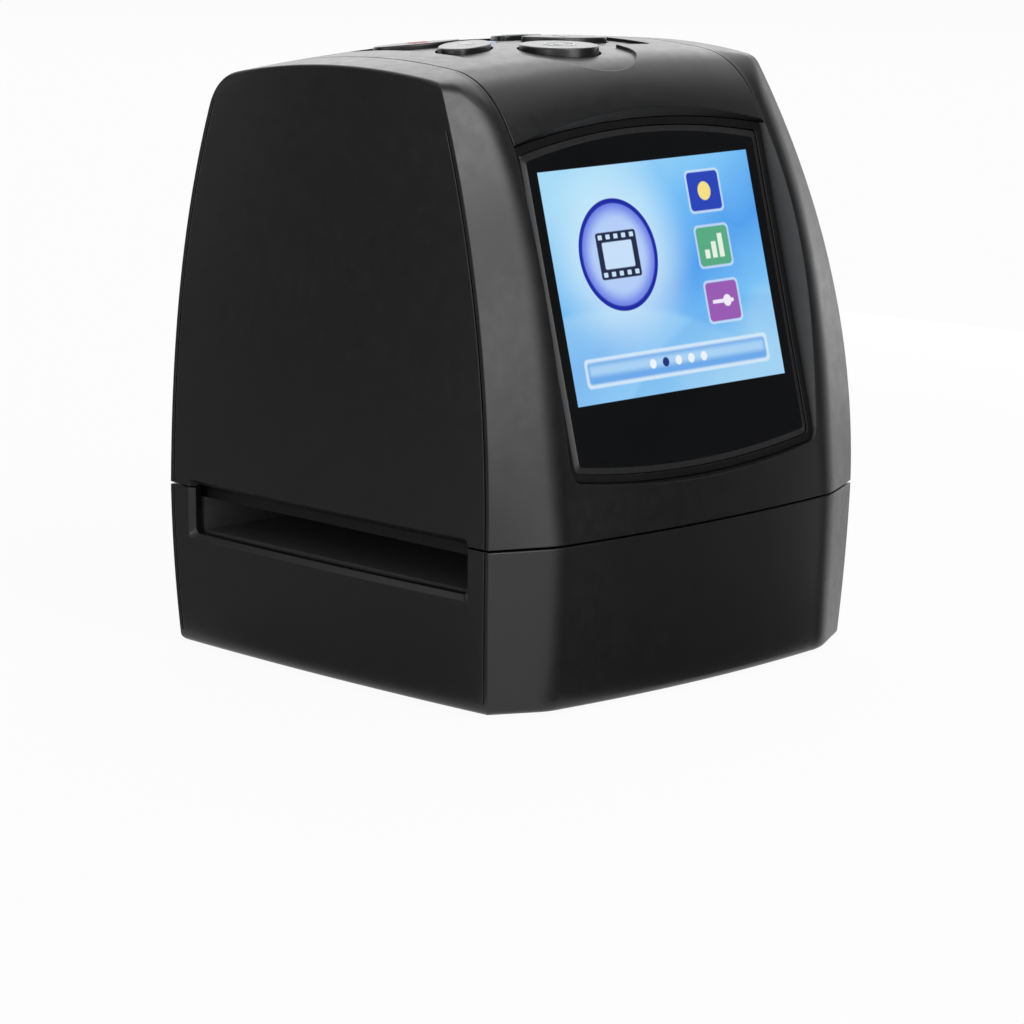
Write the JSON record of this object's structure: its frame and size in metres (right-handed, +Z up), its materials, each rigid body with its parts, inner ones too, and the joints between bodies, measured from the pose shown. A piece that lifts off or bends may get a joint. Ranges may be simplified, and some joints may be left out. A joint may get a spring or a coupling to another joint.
{
  "type": "film negative scanner",
  "caption": "Desk-top film negative scanner: tapered black housing with a leaning display window, push keys on top and a film passage through the base.",
  "frame": {"origin": "on the table, under the middle of the housing", "axes": "+Z up, front with the display faces -Y, +X to the right seen from the front; film runs along X"},
  "size_m": [0.0878, 0.085, 0.1001],
  "materials": {
    "shell_plastic": "satin",
    "key_plastic": "satin",
    "gloss_panel": "polished",
    "display_glass": "polished",
    "inner_plastic": "matte",
    "pale_plastic": "matte",
    "board_green": "satin",
    "steel": "satin",
    "rubber": "matte",
    "diffuser_white": "matte",
    "lamp_plastic": "polished",
    "cable": "satin"
  },
  "bodies": {
    "housing": {"base_shell": "shell_plastic", "upper_shell": "shell_plastic", "top_cover": "shell_plastic", "window_bezel": "shell_plastic", "display_lens": "gloss_panel", "image_sensor": "gloss_panel", "lcd_panel": "display_glass", "lcd_bracket": "inner_plastic", "film_track": "inner_plastic", "optical_tower": "inner_plastic", "lens_holder": "inner_plastic", "tv_jack": "inner_plastic", "main_board": "board_green", "backlight_board": "board_green", "camera_board": "board_green", "key_board": "board_green", "socket_board": "board_green", "upper_film_gate": "inner_plastic", "light_box": "pale_plastic", "diffuser": "diffuser_white", "lens_barrel": "steel", "usb_socket": "steel", "power_switch": "inner_plastic", "menu_switch": "inner_plastic", "mirror_switch": "inner_plastic", "flip_switch": "inner_plastic", "scan_switch": "inner_plastic", "status_light_pipe": "lamp_plastic", "click_spring_1": "steel", "click_spring_2": "steel", "key_screw_1": "steel", "case_screw_1": "steel", "foot_1": "rubber", "key_screw_2": "steel", "case_screw_2": "steel", "foot_2": "rubber", "key_screw_3": "steel", "case_screw_3": "steel", "foot_3": "rubber", "key_screw_4": "steel", "case_screw_4": "steel", "foot_4": "rubber", "key_ribbon": "cable", "camera_ribbon": "cable"},
    "power_key": {"power_button": "key_plastic", "power_switch_plunger": "pale_plastic"},
    "menu_key": {"menu_button": "key_plastic", "menu_switch_plunger": "pale_plastic"},
    "mirror_key": {"mirror_button": "key_plastic", "mirror_switch_plunger": "pale_plastic"},
    "flip_key": {"flip_button": "key_plastic", "flip_switch_plunger": "pale_plastic"},
    "scan_key": {"scan_button": "key_plastic", "scan_switch_plunger": "pale_plastic"},
    "click_stop_1": {"click_plunger_1": "pale_plastic"},
    "click_stop_2": {"click_plunger_2": "pale_plastic"}
  },
  "joints": [
    {"name": "power_press", "type": "slide", "parent": "housing", "child": "power_key", "axis": [0, 0, -1], "range_m": [0, 0.0007], "stiffness_N_per_m": 900, "springref_m": -0.0006},
    {"name": "menu_press", "type": "slide", "parent": "housing", "child": "menu_key", "axis": [0, 0, -1], "range_m": [0, 0.0007], "stiffness_N_per_m": 900, "springref_m": -0.0006},
    {"name": "mirror_press", "type": "slide", "parent": "housing", "child": "mirror_key", "axis": [0, 0, -1], "range_m": [0, 0.0007], "stiffness_N_per_m": 900, "springref_m": -0.0006},
    {"name": "flip_press", "type": "slide", "parent": "housing", "child": "flip_key", "axis": [0, 0, -1], "range_m": [0, 0.0007], "stiffness_N_per_m": 900, "springref_m": -0.0006},
    {"name": "scan_press", "type": "slide", "parent": "housing", "child": "scan_key", "axis": [0, 0, -1], "range_m": [0, 0.0007], "stiffness_N_per_m": 900, "springref_m": -0.0006},
    {"name": "click_stop_1_slide", "type": "slide", "parent": "housing", "child": "click_stop_1", "axis": [0, -1, 0], "range_m": [0, 0.0008], "stiffness_N_per_m": 400, "springref_m": -0.0008, "deforming": ["click_spring_1"]},
    {"name": "click_stop_2_slide", "type": "slide", "parent": "housing", "child": "click_stop_2", "axis": [0, -1, 0], "range_m": [0, 0.0008], "stiffness_N_per_m": 400, "springref_m": -0.0008, "deforming": ["click_spring_2"]}
  ]
}
